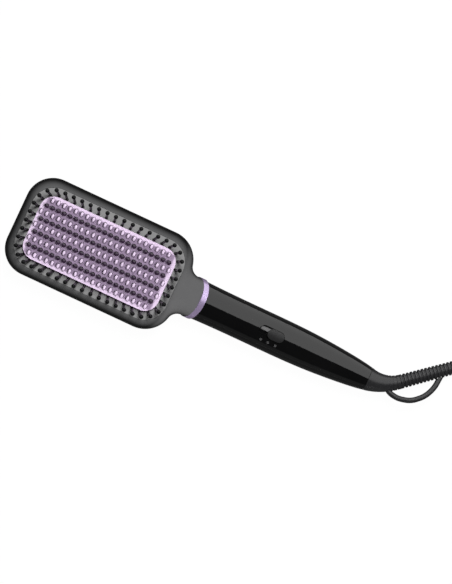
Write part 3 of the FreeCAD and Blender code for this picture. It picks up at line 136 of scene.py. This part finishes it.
def pattern(tree, coordinates, kind, scale):
    """The fine relief of a finish: moulded grain, flakes, brushed lines or weave."""
    if kind == "flakes":
        cells = node(tree, "ShaderNodeTexVoronoi", Scale=scale)
        tree.links.new(coordinates, cells.inputs["Vector"])
        return cells.outputs["Distance"]
    if kind == "weave":
        lines = []
        for direction in ("X", "Y"):
            wave = node(
                tree, "ShaderNodeTexWave", Scale=scale, Distortion=0.4, bands_direction=direction)
            tree.links.new(coordinates, wave.inputs["Vector"])
            lines.append(wave.outputs["Fac"])
        both = node(tree, "ShaderNodeMath", operation="MAXIMUM")
        for line, socket in zip(lines, both.inputs):
            tree.links.new(line, socket)
        return both.outputs[0]
    stretch = BRUSHED_STRETCH if kind == "brushed" else PLAIN_STRETCH
    mapping = node(tree, "ShaderNodeMapping", Scale=stretch)
    tree.links.new(coordinates, mapping.inputs["Vector"])
    noise = node(tree, "ShaderNodeTexNoise", Scale=scale, Detail=3.0, Roughness=0.6)
    tree.links.new(mapping.outputs[0], noise.inputs["Vector"])
    return noise.outputs["Fac"]


def finish(
    name, colour, roughness, vary=0.08, rough_vary=0.05, kind="grain", scale=1800.0, depth=0.02,
    bump=0.25, painted_shade=None, **sockets
):
    """A finish with fine relief, whose colour and roughness differ a little from place to place.

    A darker tone can be painted in as shade, together with the places that don't take it."""
    material, tree, shader = new_material(name)
    coordinates = node(tree, "ShaderNodeTexCoord").outputs["Object"]
    broad = node(tree, "ShaderNodeTexNoise", Scale=BROAD_SCALE, Detail=5.0, Roughness=0.55)
    tree.links.new(coordinates, broad.inputs["Vector"])
    fine = pattern(tree, coordinates, kind, scale)

    both = node(tree, "ShaderNodeMix", data_type="FLOAT", Factor=0.5)
    tree.links.new(broad.outputs["Fac"], both.inputs["A"])
    tree.links.new(fine, both.inputs["B"])
    dark = [channel * (1 - vary) for channel in colour]
    light = [channel * (1 + vary) for channel in colour]
    tone = tones(tree, both.outputs["Result"], dark, light)
    # Painted shade: a deeper tone mixed in away from the given places
    if painted_shade:
        painted_shade_tone, places = painted_shade
        tone = with_painted_shade(tree, tone, painted_shade_tone, places(tree, coordinates))
    tree.links.new(tone, shader.inputs["Base Color"])

    least, most = PATTERN_RANGE
    rough = node(
        tree, "ShaderNodeMapRange", From_Min=least, From_Max=most,
        To_Min=roughness - rough_vary, To_Max=roughness + rough_vary)
    tree.links.new(both.outputs["Result"], rough.inputs["Value"])
    tree.links.new(rough.outputs["Result"], shader.inputs["Roughness"])

    relief = node(tree, "ShaderNodeBump", Strength=bump, Distance=depth * MM)
    tree.links.new(fine, relief.inputs["Height"])
    tree.links.new(relief.outputs["Normal"], shader.inputs["Normal"])
    for socket, setting in sockets.items():
        shader.inputs[socket.replace("_", " ")].default_value = setting
    return material


def share(tree, coordinates, axis, low, high, size_only=False):
    """How far a place lies between two distances along an axis, from 0 to 1."""
    split = node(tree, "ShaderNodeSeparateXYZ")
    tree.links.new(coordinates, split.inputs[0])
    distance = split.outputs[axis]
    if size_only:
        size = node(tree, "ShaderNodeMath", operation="ABSOLUTE")
        tree.links.new(distance, size.inputs[0])
        distance = size.outputs[0]
    span = node(
        tree, "ShaderNodeMapRange", From_Min=low * MM, From_Max=high * MM,
        interpolation_type="SMOOTHSTEP")
    tree.links.new(distance, span.inputs["Value"])
    return span.outputs["Result"]


def joined(tree, operation, first, second):
    """One value from two."""
    both = node(tree, "ShaderNodeMath", operation=operation)
    tree.links.new(first, both.inputs[0])
    tree.links.new(second, both.inputs[1])
    return both.outputs[0]


def with_painted_shade(tree, tone, painted_shade_tone, unshaded):
    """The tone where the mask is 1, and a deeper tone painted in as shade where it is 0."""
    mix = node(tree, "ShaderNodeMix", data_type="RGBA")
    tree.links.new(unshaded, mix.inputs["Factor"])
    colours = [socket for socket in mix.inputs if socket.type == "RGBA"]
    colours[0].default_value = (*painted_shade_tone, 1)
    tree.links.new(tone, colours[1])
    return next(socket for socket in mix.outputs if socket.type == "RGBA")


def rim_unshaded_places(tree, coordinates):
    """All but the head's outer edge, where shade is painted in, in a band that is narrower towards
    the neck.
    """
    top = share(tree, coordinates, "Z", *RIM_HEIGHTS)
    neck = share(tree, coordinates, "X", *NECK_STRETCH)
    side = share(tree, coordinates, "Z", *NECK_EDGE_HEIGHTS)
    return joined(tree, "MAXIMUM", top, joined(tree, "MULTIPLY", neck, side))


def plate_unshaded_places(tree, coordinates):
    """The tops of the plate's teeth and its margin, but not the teeth's sides or between them,
    where shade is painted in.
    """
    tops = share(tree, coordinates, "Z", *TOOTH_TOP_HEIGHTS)
    flat = share(tree, coordinates, "Z", *MARGIN_HEIGHTS)
    end = share(tree, coordinates, "X", *MARGIN_ENDS, size_only=True)
    side = share(tree, coordinates, "Y", *MARGIN_SIDES, size_only=True)
    margin = joined(tree, "MULTIPLY", flat, joined(tree, "MAXIMUM", end, side))
    return joined(tree, "MAXIMUM", tops, margin)


FINISHES = {
    # The housing's outer edge has shade painted into its colour
    "housing": finish(
        "housing", (0.132, 0.132, 0.134), 0.50, scale=2200.0, depth=0.03,
        painted_shade=((0.004, 0.004, 0.004), rim_unshaded_places), Specular_IOR_Level=0.3),
    "bed": finish(
        "bed", (0.300, 0.300, 0.300), 0.55, scale=2200.0, depth=0.03, Specular_IOR_Level=0.2),
    "bristle": finish(
        "bristle", (0.005, 0.005, 0.0055), 0.24, vary=0.2, Specular_IOR_Level=0.12),
    # The coating has shade painted on its teeth's sides and between them, and painted highlights on
    # their tops
    "coating": finish(
        "coating", (0.66, 0.53, 0.70), 0.46, vary=0.05, kind="flakes", scale=5200.0, depth=0.004,
        painted_shade=((0.265, 0.197, 0.292), plate_unshaded_places), Metallic=0.25, Coat_Weight=1.0,
        Coat_Roughness=0.06),
    "inner_pin": finish("inner_pin", (0.020, 0.010, 0.023), 0.24, vary=0.15),
    "trim": finish(
        "trim", (0.44, 0.345, 0.55), 0.25, vary=0.06, kind="flakes", scale=5200.0, depth=0.003,
        Metallic=0.5, Coat_Weight=0.25, Coat_Roughness=0.08),
    "handle": finish(
        "handle", (0.003, 0.003, 0.0032), 0.06, vary=0.2, rough_vary=0.015, scale=700.0,
        depth=0.0006, bump=0.1),
    "knob": finish("knob", (0.014, 0.014, 0.0145), 0.38, Specular_IOR_Level=0.3),
    "light": finish("light", (0.14, 0.14, 0.142), 0.35, Coat_Weight=0.4, Coat_Roughness=0.1),
    "rubber": finish(
        "rubber", (0.017, 0.017, 0.018), 0.31, vary=0.15, scale=2600.0, depth=0.01, bump=0.12,
        Specular_IOR_Level=0.44),
    "steel": finish(
        "steel", (0.55, 0.55, 0.56), 0.30, kind="brushed", scale=3000.0, depth=0.004, Metallic=1.0),
    "copper_alloy": finish(
        "copper_alloy", (0.66, 0.47, 0.22), 0.28, kind="brushed", scale=3000.0, depth=0.003,
        Metallic=1.0),
    "heater": finish(
        "heater", (0.72, 0.72, 0.74), 0.38, kind="brushed", scale=2500.0, depth=0.005,
        Metallic=1.0),
    "mica": finish("mica", (0.55, 0.48, 0.33), 0.45, vary=0.2, kind="flakes", scale=260.0),
    "board": finish(
        "board", (0.03, 0.16, 0.07), 0.35, vary=0.12, kind="weave", scale=420.0, depth=0.01,
        Coat_Weight=0.4),
    "device": finish("device", (0.02, 0.02, 0.022), 0.55, depth=0.03),
    "film": finish("film", (0.35, 0.10, 0.03), 0.22, vary=0.1, depth=0.01, Coat_Weight=0.6),
    "wire": finish("wire", (0.35, 0.03, 0.02), 0.40, vary=0.1),
    "bush": finish("bush", (0.60, 0.59, 0.55), 0.40),
    "tie": finish(
        "tie", (0.012, 0.012, 0.012), 0.75, vary=0.3, kind="weave", scale=260.0, depth=0.15,
        bump=0.5, Sheen_Weight=0.3),
    "plating": finish(
        "plating", (0.72, 0.71, 0.68), 0.16, kind="brushed", scale=3000.0, depth=0.002,
        Metallic=1.0),
}

SMOOTH_ANGLE = math.radians(32.0)
for part in frame["record"]["subparts"]:
    mesh = NODES[part["node"]].data
    mesh.materials.clear()
    mesh.materials.append(FINISHES[part["material_slot"]])
    mesh.shade_smooth()
    mesh.set_sharp_from_angle(angle=SMOOTH_ANGLE)


# Cord

def coil_reach(half_turns):
    """The coil's radius and height after so many half turns: inwards, up a layer, outwards."""
    step = COIL_PITCH / 2
    climb = min(max(half_turns - HALF_TURNS_IN + 1, 0), 1)
    height = COIL_LOW + COIL_PITCH * climb
    if half_turns <= HALF_TURNS_IN:
        return COIL_RADIUS - step * half_turns, height
    inner = COIL_RADIUS - step * HALF_TURNS_IN
    outward = half_turns - HALF_TURNS_IN
    return inner + step * (outward + min(outward, 1)), height


def coil_points():
    """Control points of the coil, a little outside its turns, because the line cuts inside them."""
    turn = math.pi / POINTS_IN_HALF_TURN
    swell = 4 / (3 + math.cos(turn))
    count = (HALF_TURNS_IN + HALF_TURNS_OUT) * POINTS_IN_HALF_TURN
    points = []
    for number in range(count + 1):
        radius, height = coil_reach(number / POINTS_IN_HALF_TURN)
        angle = COIL_START - turn * number
        around = Vector((math.cos(angle), math.sin(angle), 0))
        points.append(COIL_CENTRE + around * (radius * swell) + Vector((0, 0, height)))
    return points


def cord_line():
    """Points along the cord's smooth line."""
    curve = bpy.data.curves.new("cord_line", "CURVE")
    curve.dimensions = "3D"
    curve.resolution_u = LINE_RESOLUTION
    spline = curve.splines.new("NURBS")
    route = [SLEEVE_END, *LEAD_POINTS, *coil_points(), *TAIL_POINTS]
    spline.points.add(len(route) - 1)
    for point, place in zip(spline.points, route):
        point.co = (*place, 1)
    spline.order_u = LINE_ORDER
    spline.use_endpoint_u = True
    holder = bpy.data.objects.new("cord_line", curve)
    bpy.context.scene.collection.objects.link(holder)
    bpy.context.view_layer.update()
    line = bpy.data.meshes.new_from_object(holder)
    points = [vertex.co.copy() for vertex in line.vertices]
    bpy.data.objects.remove(holder)
    return points


def new_piece(name, vertices, faces, slot):
    """A smooth mesh piece in a finish."""
    mesh = bpy.data.meshes.new(name)
    mesh.from_pydata(vertices, [], faces)
    mesh.shade_smooth()
    mesh.set_sharp_from_angle(angle=SMOOTH_ANGLE)
    mesh.materials.append(FINISHES[slot])
    piece = bpy.data.objects.new(name, mesh)
    bpy.context.scene.collection.objects.link(piece)
    return piece


def ring_faces(rings, sides, closed=False):
    """Quads between rings of vertices, with end caps unless the rings close up."""
    faces = []
    for ring in range(rings if closed else rings - 1):
        following = (ring + 1) % rings
        for side in range(sides):
            across = (side + 1) % sides
            faces.append((
                ring * sides + side, ring * sides + across,
                following * sides + across, following * sides + side))
    if not closed:
        faces.append(tuple(reversed(range(sides))))
        faces.append(tuple(range((rings - 1) * sides, rings * sides)))
    return faces


def tube(name, path, radius, slot, sides=20):
    """A closed mesh tube along a path, with its sections turned as little as possible."""
    vertices = []
    across = None
    for index, place in enumerate(path):
        ahead = (path[min(index + 1, len(path) - 1)] - path[max(index - 1, 0)]).normalized()
        across = ahead.orthogonal() if across is None else across - ahead * across.dot(ahead)
        across.normalize()
        beside = ahead.cross(across)
        for side in range(sides):
            angle = 2 * math.pi * side / sides
            vertices.append(place + (across * math.cos(angle) + beside * math.sin(angle)) * radius)
    return new_piece(name, vertices, ring_faces(len(path), sides), slot)


path = cord_line()
cord = tube("cord", path, CORD_DIAMETER / 2, "rubber")
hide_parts("power_cord", "cord_coil", "cord_tail")
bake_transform(cord)

# Tie around the coil: a strap with soft corners and a lapped end
TIE_INNER = 21.45 * MM
TIE_OUTER = 50.8 * MM
TIE_TOP = 14.1 * MM
TIE_THICK = 1.0 * MM
TIE_WIDTH = 8.0 * MM
TIE_CORNER = 3.2 * MM
TIE_EDGE = 0.35 * MM
TIE_LAP = 12.0 * MM
TIE_LAP_THICK = 0.8 * MM
TIE_LAP_TIP = 0.35
STEPS_IN_CORNER = 7


def tie_path():
    """Places around the bundle in the tie's own plane, with the way that each faces."""
    low, high = TIE_THICK, TIE_TOP
    places = []
    for x, z, start in (
        (TIE_OUTER - TIE_CORNER, high - TIE_CORNER, 0),
        (TIE_INNER + TIE_CORNER, high - TIE_CORNER, 90),
        (TIE_INNER + TIE_CORNER, low + TIE_CORNER, 180),
        (TIE_OUTER - TIE_CORNER, low + TIE_CORNER, 270),
    ):
        for step in range(STEPS_IN_CORNER + 1):
            angle = math.radians(start + 90 * step / STEPS_IN_CORNER)
            facing = Vector((math.cos(angle), 0, math.sin(angle)))
            places.append((Vector((x, 0, z)) + facing * TIE_CORNER, facing))
    return places


def strap_section(thick):
    """A flat strap's section with eased edges: out from the bundle and across."""
    half = TIE_WIDTH / 2
    return [
        (0, -half + TIE_EDGE), (TIE_EDGE, -half),
        (thick - TIE_EDGE, -half), (thick, -half + TIE_EDGE),
        (thick, half - TIE_EDGE), (thick - TIE_EDGE, half),
        (TIE_EDGE, half), (0, half - TIE_EDGE),
    ]


def cord_tie():
    """The strap around the coil, with its lapped end on top."""
    section = strap_section(TIE_THICK)
    vertices = [
        place + facing * out + Vector((0, across, 0))
        for place, facing in tie_path() for out, across in section
    ]
    faces = ring_faces(len(vertices) // len(section), len(section), closed=True)
    lap = strap_section(TIE_LAP_THICK)
    first = len(vertices)
    middle = (TIE_INNER + TIE_OUTER) / 2
    stations = [
        (middle - TIE_LAP / 2, TIE_LAP_TIP), (middle - TIE_LAP / 2 + TIE_EDGE, 1.0),
        (middle + TIE_LAP / 2 - TIE_EDGE, 1.0), (middle + TIE_LAP / 2, TIE_LAP_TIP),
    ]
    for x, rise in stations:
        vertices.extend(
            Vector((x, across, TIE_TOP + TIE_THICK / 2 + (out + TIE_THICK / 2) * rise))
            for out, across in lap)
    faces.extend(
        tuple(first + corner for corner in face) for face in ring_faces(len(stations), len(lap)))
    place = Matrix.Translation(COIL_CENTRE) @ Matrix.Rotation(COIL_START + math.pi, 4, "Z")
    return new_piece("coil_tie", [place @ vertex for vertex in vertices], faces, "tie")


tie = cord_tie()
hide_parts("cord_tie")
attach(tie, "handle")


# A light bar along the floor of the switch's recess, in mm
BAR_FROM, BAR_TO = 131.9, 150.9
BAR_SIDES = (0.3, 3.1)
BAR_BOTTOM, BAR_TOP = 22.5, 22.8
BAR_EDGE = 0.15
# Its width near an end, as a share of the whole, at distances from that end
BAR_TAPER = ((0.0, 0.55), (0.3, 0.8), (1.0, 1.0))


def recess_bar():
    """The bar, with eased upper edges and rounded ends."""
    middle, half = sum(BAR_SIDES) / 2, (BAR_SIDES[1] - BAR_SIDES[0]) / 2
    stations = [(BAR_FROM + away, wide) for away, wide in BAR_TAPER]
    stations.extend((BAR_TO - away, wide) for away, wide in reversed(BAR_TAPER))
    vertices = []
    for x, wide in stations:
        reach = half * wide
        section = (
            (-reach, BAR_BOTTOM), (reach, BAR_BOTTOM), (reach, BAR_TOP - BAR_EDGE),
            (reach - BAR_EDGE, BAR_TOP), (BAR_EDGE - reach, BAR_TOP), (-reach, BAR_TOP - BAR_EDGE))
        vertices.extend(Vector((x, middle + y, z)) * MM for y, z in section)
    return new_piece("recess_bar", vertices, ring_faces(len(stations), len(section)), "light")


bar = recess_bar()
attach(bar, "handle")


# Floor, reflecting panels and lamps

FLOOR_PALE = 0.12
FLOOR_SHADE = 0.035
FLOOR_GLOW = 0.975


def floor_material():
    """White to the eye and in reflections, with a faint shadow; a dim floor to other light."""
    material, tree, shader = new_material("floor")
    tree.nodes.remove(shader)
    rays = node(tree, "ShaderNodeLightPath").outputs
    seen = joined(tree, "MAXIMUM", rays["Is Camera Ray"], rays["Is Glossy Ray"])
    shown = joined(tree, "MAXIMUM", seen, rays["Is Transmission Ray"])
    pale = node(tree, "ShaderNodeBsdfDiffuse", Color=(FLOOR_PALE, FLOOR_PALE, FLOOR_PALE, 1))
    shade = node(tree, "ShaderNodeBsdfDiffuse", Color=(FLOOR_SHADE, FLOOR_SHADE, FLOOR_SHADE, 1))
    glow = node(tree, "ShaderNodeEmission", Strength=FLOOR_GLOW)
    white = node(tree, "ShaderNodeAddShader")
    mix = node(tree, "ShaderNodeMixShader")
    tree.links.new(shade.outputs[0], white.inputs[0])
    tree.links.new(glow.outputs[0], white.inputs[1])
    tree.links.new(shown, mix.inputs[0])
    tree.links.new(pale.outputs[0], mix.inputs[1])
    tree.links.new(white.outputs[0], mix.inputs[2])
    tree.links.new(mix.outputs[0], tree.nodes["Material Output"].inputs["Surface"])
    return material


def glow_material(name, strength):
    """A material that only glows."""
    material, tree, shader = new_material(name)
    tree.nodes.remove(shader)
    glow = node(tree, "ShaderNodeEmission", Strength=strength)
    tree.links.new(glow.outputs[0], tree.nodes["Material Output"].inputs["Surface"])
    return material


def sheet(name, corners, material):
    """A strip of quads through pairs of points, in the scene."""
    mesh = bpy.data.meshes.new(name)
    count = len(corners) // 2
    faces = [(2 * i, 2 * i + 1, 2 * i + 3, 2 * i + 2) for i in range(count - 1)]
    mesh.from_pydata(corners, [], faces)
    mesh.materials.append(material)
    made = bpy.data.objects.new(name, mesh)
    bpy.context.scene.collection.objects.link(made)
    return made


def reflected_sheet(name, corners, strength):
    """A sheet that shows only in reflections."""
    made = sheet(name, corners, glow_material(name, strength))
    made.visible_camera = False
    made.visible_diffuse = False
    made.visible_shadow = False
    made.visible_transmission = False
    return made


FLOOR_REACH = 12.0
FLOOR_HEIGHT = -0.2 * MM
sheet(
    "floor",
    [(x * FLOOR_REACH, y * FLOOR_REACH, FLOOR_HEIGHT) for x in (-1, 1) for y in (-1, 1)],
    floor_material(),
)

PANEL_RADIUS = 1.5
PANEL_REACH = 2.5
PANEL_FROM, PANEL_TO = 3.0, 89.0
PANEL_STEPS = 24
PANEL_STRENGTH = 1.8


def arched_panel(name, start, end, strength):
    """Part of a tunnel along X over the object, between two angles from the zenith towards +Y."""
    corners = []
    for step in range(PANEL_STEPS + 1):
        angle = math.radians(start + (end - start) * step / PANEL_STEPS)
        y, z = PANEL_RADIUS * math.sin(angle), PANEL_RADIUS * math.cos(angle)
        corners.extend(((-PANEL_REACH, y, z), (PANEL_REACH, y, z)))
    return reflected_sheet(name, corners, strength)


HEAD_NODES = ("head_front_frame", "head_rear_cover", "bristle_bed")
PLATE_NODES = ("heater_plate", "inner_bristle_rails")


def aimed(source, names, state):
    """A lamp or panel that lights only some nodes, or all but them."""
    receivers = bpy.data.collections.new(source.name)
    for name in names:
        receivers.objects.link(NODES[name])
    for receiver in receivers.collection_objects:
        receiver.light_linking.link_state = state
    source.light_linking.receiver_collection = receivers


aimed(arched_panel("panel", PANEL_FROM, PANEL_TO, PANEL_STRENGTH), HEAD_NODES, "EXCLUDE")

FLOOR_PANEL_FROM = 0.13
FLOOR_PANEL_HEIGHT = 0.15 * MM
floor_panel = reflected_sheet(
    "floor_panel",
    [
        (x, y, FLOOR_PANEL_HEIGHT)
        for x in (-PANEL_REACH, PANEL_REACH) for y in (FLOOR_PANEL_FROM, PANEL_RADIUS)
    ],
    PANEL_STRENGTH,
)
aimed(floor_panel, HEAD_NODES, "EXCLUDE")

LOW_FROM, LOW_TO = -66.0, -89.0
LOW_STRENGTH = 0.17
arched_panel("low_panel", LOW_FROM, LOW_TO, LOW_STRENGTH)

CARD_REACH = 1.6
CARD_HEIGHT = 0.1 * MM
CARD_STRENGTH = 0.12
reflected_sheet(
    "dark_card",
    [(x * CARD_REACH, y * CARD_REACH, CARD_HEIGHT) for x in (-1, 1) for y in (-1, 1)],
    CARD_STRENGTH,
)

OBJECT_MIDDLE = Vector((0.08, 0.0, 0.02))
# Each lamp's place, size and power, and the nodes that it lights alone or leaves out
LAMPS = (
    ("key", (0.05, 0.86, 1.57), 0.8, 33.0, (*PLATE_NODES, "light_pipes"), "EXCLUDE"),
    ("plate_key", (0.30, 0.05, 1.68), 0.32, 41.0, PLATE_NODES, "INCLUDE"),
    ("fill", (0.55, -1.1, 0.30), 0.5, 11.0, ("bristle_bed",), "EXCLUDE"),
)
WORLD_STRENGTH = 0.03


def area_light(name, place, size, power):
    """A square lamp that faces the object and doesn't show in reflections."""
    lamp = bpy.data.lights.new(name, "AREA")
    lamp.size = size
    lamp.energy = power
    holder = bpy.data.objects.new(name, lamp)
    holder.location = place
    holder.rotation_mode = "QUATERNION"
    holder.rotation_quaternion = (OBJECT_MIDDLE - Vector(place)).to_track_quat("-Z", "Y")
    holder.visible_glossy = False
    holder.visible_camera = False
    bpy.context.scene.collection.objects.link(holder)
    return holder


for name, place, size, power, names, state in LAMPS:
    aimed(area_light(name, place, size, power), names, state)

world = bpy.data.worlds.new("studio")
world.use_nodes = True
background = world.node_tree.nodes["Background"]
background.inputs["Color"].default_value = (1, 1, 1, 1)
background.inputs["Strength"].default_value = WORLD_STRENGTH
bpy.context.scene.world = world
bpy.context.scene.view_settings.view_transform = "Standard"

camera_data = bpy.data.cameras.new("camera")
camera_data.lens = CAMERA_LENS
camera = bpy.data.objects.new("camera", camera_data)
camera.location = CAMERA_PLACE
camera.rotation_euler = (0, 0, CAMERA_TURN)
bpy.context.scene.collection.objects.link(camera)
bpy.context.scene.camera = camera
